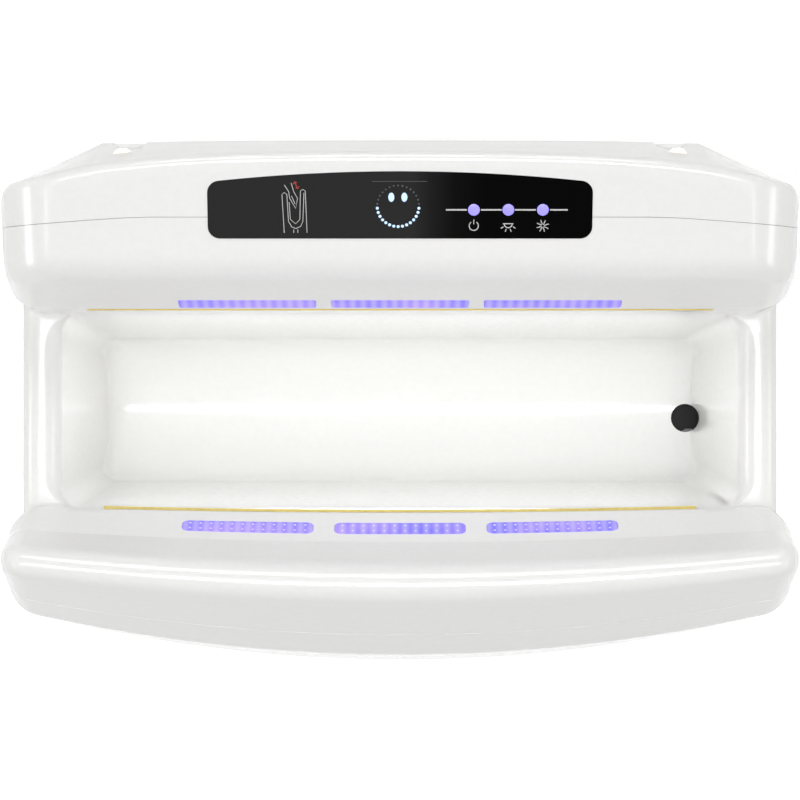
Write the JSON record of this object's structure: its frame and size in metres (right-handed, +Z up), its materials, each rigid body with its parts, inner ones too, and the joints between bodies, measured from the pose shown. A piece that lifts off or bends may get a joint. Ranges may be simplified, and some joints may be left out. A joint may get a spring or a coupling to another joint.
{
  "type": "wall-hung hand dryer with ultraviolet sterilising lamps",
  "caption": "Upright wall-hung hand dryer with a deep open hand slot, air jets on both lips, violet sterilising lamps, a black display, a drain and a pull-out water tank.",
  "frame": {"origin": "centre of the four wall screw holes, on the wall's surface", "axes": "+X to the user's right, +Y into the wall, +Z up"},
  "size_m": [0.3, 0.2102, 0.6564],
  "materials": {
    "white_shell": "moulded, high gloss",
    "black_panel": "polished black acrylic",
    "board_green": "solder-resist coat",
    "violet_window": "clear violet diffuser",
    "violet_lamp": "lamp package",
    "white_lamp": "lamp package",
    "sensor_dark": "dark lens",
    "yellow_jet": "moulded",
    "grey_duct": "moulded",
    "black_plastic": "moulded",
    "mica": "pressed mica",
    "heater_alloy": "drawn",
    "motor_steel": "laminated",
    "bearing_steel": "ground",
    "cast_alloy": "die cast",
    "plate_steel": "zinc plated",
    "screw_steel": "zinc plated",
    "black_rubber": "moulded",
    "hose_clear": "translucent",
    "filter_foam": "open-cell foam",
    "tank_white": "moulded, high gloss"
  },
  "bodies": {
    "casing": {"air_box": "grey_duct", "back_cover": "white_shell", "base_cover": "white_shell", "base_screws": "screw_steel", "blower_can": "grey_duct", "board_posts": "grey_duct", "cable_grommet": "black_rubber", "capacitors": "black_plastic", "control_board": "board_green", "display_board": "board_green", "display_panel": "black_panel", "drain_hose": "hose_clear", "drain_spigot": "grey_duct", "filter_guides": "grey_duct", "front_cover": "white_shell", "front_duct": "grey_duct", "front_hand_sensors": "sensor_dark", "front_jet": "yellow_jet", "front_uv_board": "board_green", "front_uv_lamps": "violet_lamp", "front_uv_window_centre": "violet_window", "front_uv_window_left": "violet_window", "front_uv_window_right": "violet_window", "heater_coils": "heater_alloy", "heater_frame": "mica", "indicator_lamps": "violet_lamp", "intake_funnel": "grey_duct", "intake_grille_left": "white_shell", "intake_grille_right": "white_shell", "lower_bearing": "bearing_steel", "lower_bridge": "cast_alloy", "motor_mounts": "black_rubber", "motor_stator": "motor_steel", "rear_duct": "grey_duct", "rear_hand_sensors": "sensor_dark", "rear_jet": "yellow_jet", "rear_screws": "screw_steel", "rear_uv_board": "board_green", "rear_uv_lamps": "violet_lamp", "rear_uv_window_centre": "violet_window", "rear_uv_window_left": "violet_window", "rear_uv_window_right": "violet_window", "ring_lamps": "white_lamp", "switch_body": "black_plastic", "tank_rails": "grey_duct", "terminal_block": "black_plastic", "transformer": "motor_steel", "trough_moulding": "white_shell", "upper_bearing": "bearing_steel", "upper_bridge": "cast_alloy", "wall_plate": "plate_steel"},
    "rotor": {"impeller": "cast_alloy", "motor_shaft": "bearing_steel", "motor_rotor": "motor_steel"},
    "tank": {"water_tank": "tank_white"},
    "filter": {"filter_tray": "white_shell", "filter_mesh": "filter_foam"},
    "rocker": {"switch_rocker": "black_plastic"}
  },
  "joints": [
    {"name": "impeller_spin", "type": "hinge", "parent": "casing", "child": "rotor", "pos_m": [0, -0.1025, -0.08], "axis": [0, 0, 1], "continuous": true},
    {"name": "tank_slide", "type": "slide", "parent": "casing", "child": "tank", "axis": [0, -1, 0], "range_m": [0, 0.15]},
    {"name": "filter_slide", "type": "slide", "parent": "casing", "child": "filter", "axis": [-1, 0, 0], "range_m": [0, 0.25]},
    {"name": "switch_rock", "type": "hinge", "parent": "casing", "child": "rocker", "pos_m": [0.141, -0.07, -0.15], "axis": [0, 1, 0], "range_deg": [0, 20]}
  ]
}
